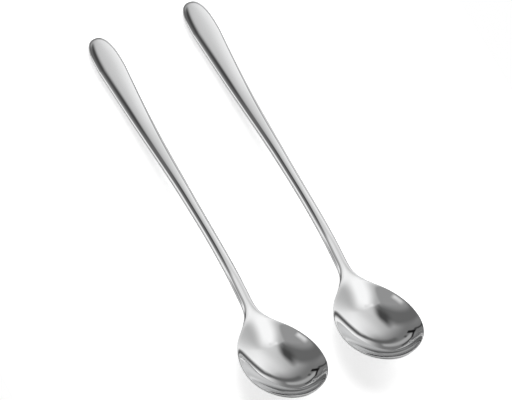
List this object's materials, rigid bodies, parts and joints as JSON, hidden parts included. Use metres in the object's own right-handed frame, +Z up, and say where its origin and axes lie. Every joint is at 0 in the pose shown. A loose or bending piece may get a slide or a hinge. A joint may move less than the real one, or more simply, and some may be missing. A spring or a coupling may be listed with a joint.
{
  "type": "iced tea spoons",
  "caption": "Long-handled polished steel iced tea spoons lying side by side, each with an egg-shaped bowl, slim rod neck and flared round handle end, for stirring and sipping from tall glasses.",
  "frame": {"origin": "centre of the pair's outline on the table that the spoons lie on", "axes": "+X along the spoons toward the tips of the bowls, +Y from the left spoon to the right one, +Z up from the table"},
  "size_m": [0.2044, 0.067, 0.0132],
  "materials": {
    "polished_steel": "mirror-polished stainless steel"
  },
  "bodies": {
    "left_spoon": {"left_spoon": "polished_steel"},
    "right_spoon": {"right_spoon": "polished_steel"}
  },
  "joints": [
    {"name": "right_spoon_lift", "type": "slide", "parent": "left_spoon", "child": "right_spoon", "axis": [0, 0, 1], "range_m": [0, 0.08]}
  ]
}
